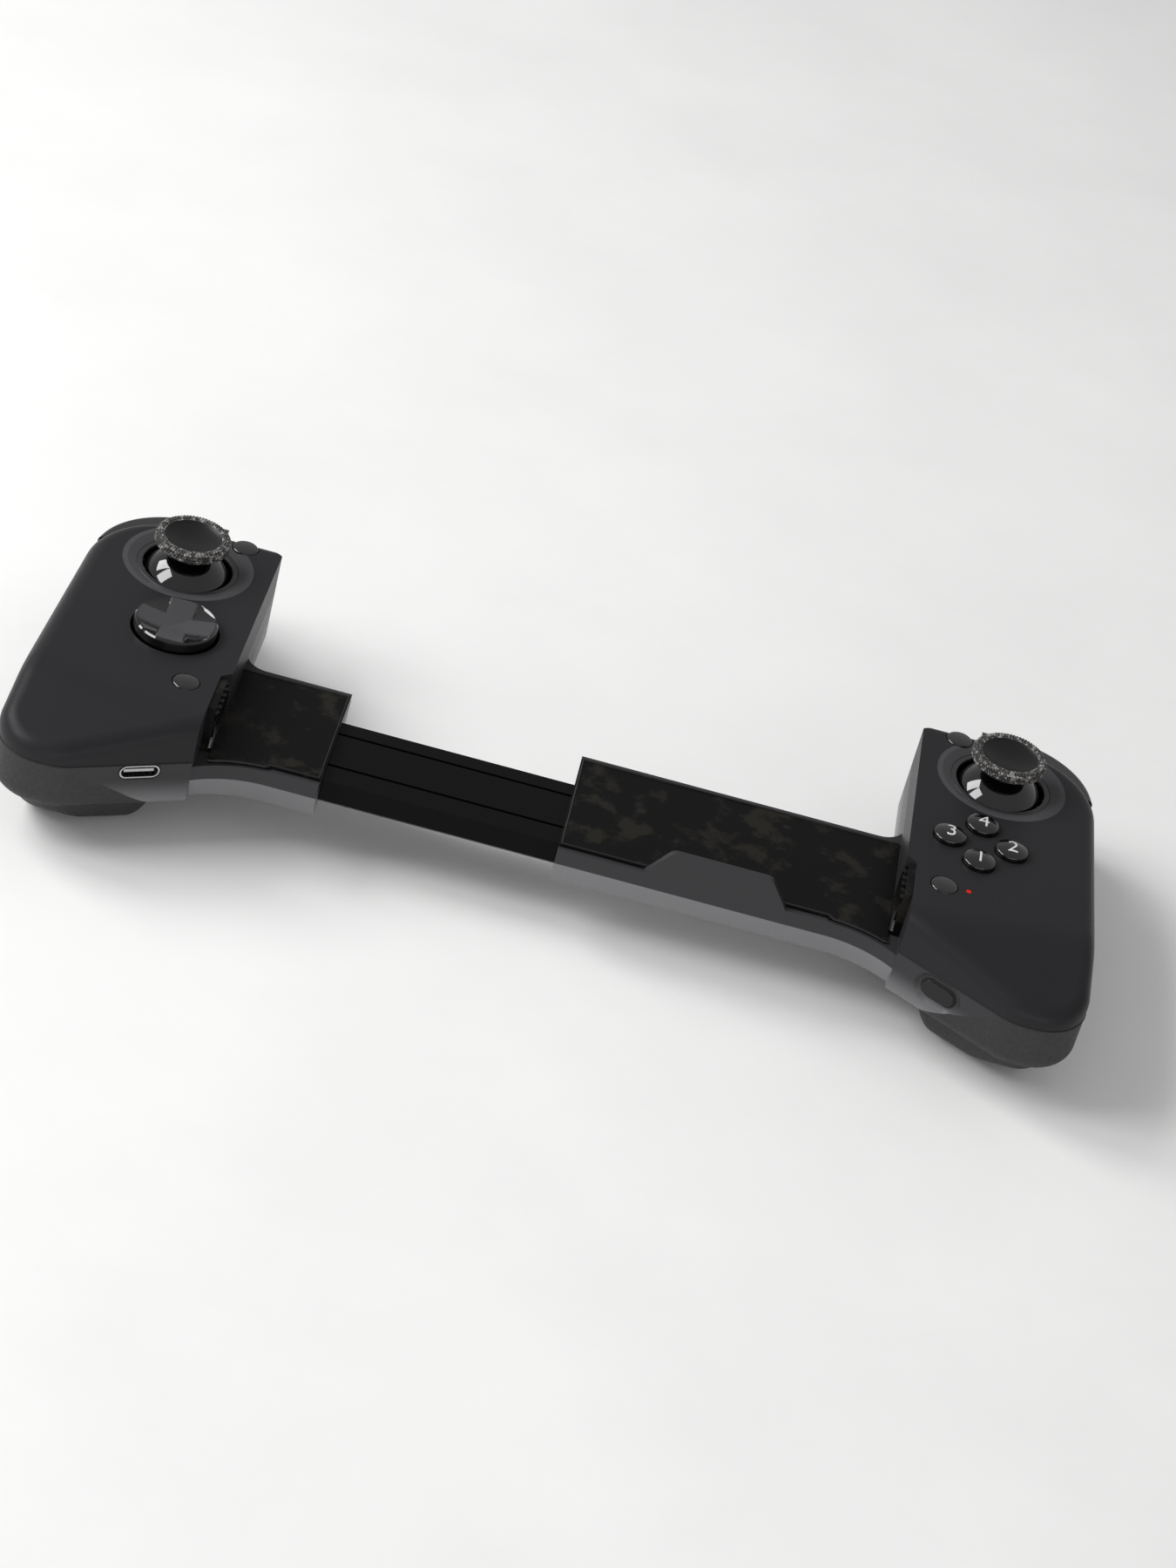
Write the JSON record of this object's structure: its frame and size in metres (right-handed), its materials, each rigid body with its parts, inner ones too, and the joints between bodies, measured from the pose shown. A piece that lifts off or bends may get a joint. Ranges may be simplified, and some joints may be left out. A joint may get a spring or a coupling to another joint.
{
  "type": "mobile game controller",
  "caption": "Telescopic game controller that holds a phone between its grips, with sticks, direction pad, round action buttons, shoulder buttons, triggers and rear paddles.",
  "frame": {"origin": "middle of the footprint, on the plane of the handle covers' lowest faces", "axes": "+X from the left grip to the right grip, +Y towards the shoulder buttons, +Z out of the face"},
  "size_m": [0.2382, 0.105, 0.0395],
  "materials": {
    "front_plastic": "satin",
    "back_plastic": "satin",
    "cover_rubber": "fine grained",
    "pad_rubber": "faint mottle",
    "gloss_black": "gloss",
    "cap_rubber": "matte",
    "ring_plastic": "satin",
    "inner_plastic": "plain",
    "membrane_rubber": "plain",
    "board_laminate": "plain",
    "steel": "bright",
    "rail_metal": "gloss black anodised",
    "cable_film": "plain",
    "cell_foil": "plain",
    "light_clear": "clear"
  },
  "bodies": {
    "right_half": {"right_front_shell": "front_plastic", "right_back_shell": "back_plastic", "right_handle_cover": "cover_rubber", "right_wing": "back_plastic", "right_floor_pad": "pad_rubber", "right_end_pad": "pad_rubber", "right_circuit_board": "board_laminate", "right_membrane": "membrane_rubber", "right_screws": "steel", "right_hinge_pins": "steel", "right_trigger_spring": "steel", "right_stick_ring": "ring_plastic", "right_stick_housing": "inner_plastic", "status_lights": "light_clear", "rail_springs": "steel", "flat_cable": "cable_film"},
    "left_half": {"left_front_shell": "front_plastic", "left_back_shell": "back_plastic", "left_handle_cover": "cover_rubber", "left_wing": "back_plastic", "left_floor_pad": "pad_rubber", "left_end_pad": "pad_rubber", "left_circuit_board": "board_laminate", "left_membrane": "membrane_rubber", "left_screws": "steel", "left_hinge_pins": "steel", "left_trigger_spring": "steel", "left_stick_ring": "ring_plastic", "left_stick_housing": "inner_plastic", "bridge_rail": "rail_metal", "battery": "cell_foil", "charging_socket": "steel"},
    "right_yoke": {"right_stick_yoke": "inner_plastic"},
    "right_rocker": {"right_stick_rocker": "inner_plastic"},
    "right_stick": {"right_stick_shaft": "steel", "right_stick_dome": "gloss_black", "right_stick_cap": "cap_rubber"},
    "right_upper": {"right_upper_button": "gloss_black"},
    "right_lower": {"right_lower_button": "gloss_black"},
    "right_shoulder": {"right_bumper": "gloss_black"},
    "right_trigger_lever": {"right_trigger": "gloss_black"},
    "right_rear_paddle": {"right_paddle": "gloss_black"},
    "left_yoke": {"left_stick_yoke": "inner_plastic"},
    "left_rocker": {"left_stick_rocker": "inner_plastic"},
    "left_stick": {"left_stick_shaft": "steel", "left_stick_dome": "gloss_black", "left_stick_cap": "cap_rubber"},
    "left_upper": {"left_upper_button": "gloss_black"},
    "left_lower": {"left_lower_button": "gloss_black"},
    "left_shoulder": {"left_bumper": "gloss_black"},
    "left_trigger_lever": {"left_trigger": "gloss_black"},
    "left_rear_paddle": {"left_paddle": "gloss_black"},
    "action_left": {"action_button_left": "gloss_black"},
    "action_top": {"action_button_top": "gloss_black"},
    "action_right": {"action_button_right": "gloss_black"},
    "action_bottom": {"action_button_bottom": "gloss_black"},
    "power": {"power_button": "gloss_black"},
    "pad_carrier": {"direction_pad_carrier": "inner_plastic"},
    "pad_disc": {"direction_pad": "gloss_black"}
  },
  "joints": [
    {"name": "bridge_slide", "type": "slide", "parent": "right_half", "child": "left_half", "axis": [-1, 0, 0], "range_m": [-0.048, 0.014], "deforming": ["rail_springs", "flat_cable"]},
    {"name": "right_stick_pitch", "type": "hinge", "parent": "right_half", "child": "right_yoke", "pos_m": [0.0945, 0.022, 0.024], "axis": [1, 0, 0], "range_deg": [-17, 17], "stiffness_Nm_per_rad": 0.06},
    {"name": "right_stick_roll", "type": "hinge", "parent": "right_yoke", "child": "right_rocker", "pos_m": [0.0945, 0.022, 0.024], "axis": [0, 1, 0], "range_deg": [-17, 17], "stiffness_Nm_per_rad": 0.06},
    {"name": "right_stick_press", "type": "slide", "parent": "right_rocker", "child": "right_stick", "axis": [0, 0, -1], "range_m": [0, 0.0005], "stiffness_N_per_m": 3000, "springref_m": -0.0005},
    {"name": "right_upper_press", "type": "slide", "parent": "right_half", "child": "right_upper", "axis": [0, 0, -1], "range_m": [0, 0.0009], "stiffness_N_per_m": 400, "springref_m": -0.001},
    {"name": "right_lower_press", "type": "slide", "parent": "right_half", "child": "right_lower", "axis": [0, 0, -1], "range_m": [0, 0.0009], "stiffness_N_per_m": 400, "springref_m": -0.001},
    {"name": "right_shoulder_press", "type": "hinge", "parent": "right_half", "child": "right_shoulder", "pos_m": [0.0916, 0.0364, 0.027], "axis": [0, 0, 1], "range_deg": [-3.5, 0], "stiffness_Nm_per_rad": 0.3, "springref_deg": 5.73},
    {"name": "right_trigger_pull", "type": "hinge", "parent": "right_half", "child": "right_trigger_lever", "pos_m": [0.1017, 0.0325, 0.018], "axis": [1, 0, 0], "range_deg": [-15, 0], "stiffness_Nm_per_rad": 0.03, "springref_deg": 20.05},
    {"name": "right_paddle_press", "type": "hinge", "parent": "right_half", "child": "right_rear_paddle", "pos_m": [0.08355, 0.011, 0.0136], "axis": [1, 0, 0], "range_deg": [-5, 0], "stiffness_Nm_per_rad": 0.1, "springref_deg": 11.46},
    {"name": "left_stick_pitch", "type": "hinge", "parent": "left_half", "child": "left_yoke", "pos_m": [-0.0945, 0.022, 0.024], "axis": [1, 0, 0], "range_deg": [-17, 17], "stiffness_Nm_per_rad": 0.06},
    {"name": "left_stick_roll", "type": "hinge", "parent": "left_yoke", "child": "left_rocker", "pos_m": [-0.0945, 0.022, 0.024], "axis": [0, 1, 0], "range_deg": [-17, 17], "stiffness_Nm_per_rad": 0.06},
    {"name": "left_stick_press", "type": "slide", "parent": "left_rocker", "child": "left_stick", "axis": [0, 0, -1], "range_m": [0, 0.0005], "stiffness_N_per_m": 3000, "springref_m": -0.0005},
    {"name": "left_upper_press", "type": "slide", "parent": "left_half", "child": "left_upper", "axis": [0, 0, -1], "range_m": [0, 0.0009], "stiffness_N_per_m": 400, "springref_m": -0.001},
    {"name": "left_lower_press", "type": "slide", "parent": "left_half", "child": "left_lower", "axis": [0, 0, -1], "range_m": [0, 0.0009], "stiffness_N_per_m": 400, "springref_m": -0.001},
    {"name": "left_shoulder_press", "type": "hinge", "parent": "left_half", "child": "left_shoulder", "pos_m": [-0.0916, 0.0364, 0.027], "axis": [0, 0, 1], "range_deg": [0, 3.5], "stiffness_Nm_per_rad": 0.3, "springref_deg": -5.73},
    {"name": "left_trigger_pull", "type": "hinge", "parent": "left_half", "child": "left_trigger_lever", "pos_m": [-0.1017, 0.0325, 0.018], "axis": [1, 0, 0], "range_deg": [-15, 0], "stiffness_Nm_per_rad": 0.03, "springref_deg": 20.05},
    {"name": "left_paddle_press", "type": "hinge", "parent": "left_half", "child": "left_rear_paddle", "pos_m": [-0.08355, 0.011, 0.0136], "axis": [1, 0, 0], "range_deg": [-5, 0], "stiffness_Nm_per_rad": 0.1, "springref_deg": 11.46},
    {"name": "action_left_press", "type": "slide", "parent": "right_half", "child": "action_left", "axis": [0, 0, -1], "range_m": [0, 0.0009], "stiffness_N_per_m": 400, "springref_m": -0.001},
    {"name": "action_top_press", "type": "slide", "parent": "right_half", "child": "action_top", "axis": [0, 0, -1], "range_m": [0, 0.0009], "stiffness_N_per_m": 400, "springref_m": -0.001},
    {"name": "action_right_press", "type": "slide", "parent": "right_half", "child": "action_right", "axis": [0, 0, -1], "range_m": [0, 0.0009], "stiffness_N_per_m": 400, "springref_m": -0.001},
    {"name": "action_bottom_press", "type": "slide", "parent": "right_half", "child": "action_bottom", "axis": [0, 0, -1], "range_m": [0, 0.0009], "stiffness_N_per_m": 400, "springref_m": -0.001},
    {"name": "power_press", "type": "slide", "parent": "right_half", "child": "power", "axis": [0.4873, 0.8732, 0], "range_m": [0, 0.0008], "stiffness_N_per_m": 400, "springref_m": -0.001},
    {"name": "pad_pitch", "type": "hinge", "parent": "left_half", "child": "pad_carrier", "pos_m": [-0.0911, -0.0052, 0.0257], "axis": [1, 0, 0], "range_deg": [-3.5, 3.5], "stiffness_Nm_per_rad": 0.05},
    {"name": "pad_roll", "type": "hinge", "parent": "pad_carrier", "child": "pad_disc", "pos_m": [-0.0911, -0.0052, 0.0257], "axis": [0, 1, 0], "range_deg": [-3.5, 3.5], "stiffness_Nm_per_rad": 0.05}
  ]
}
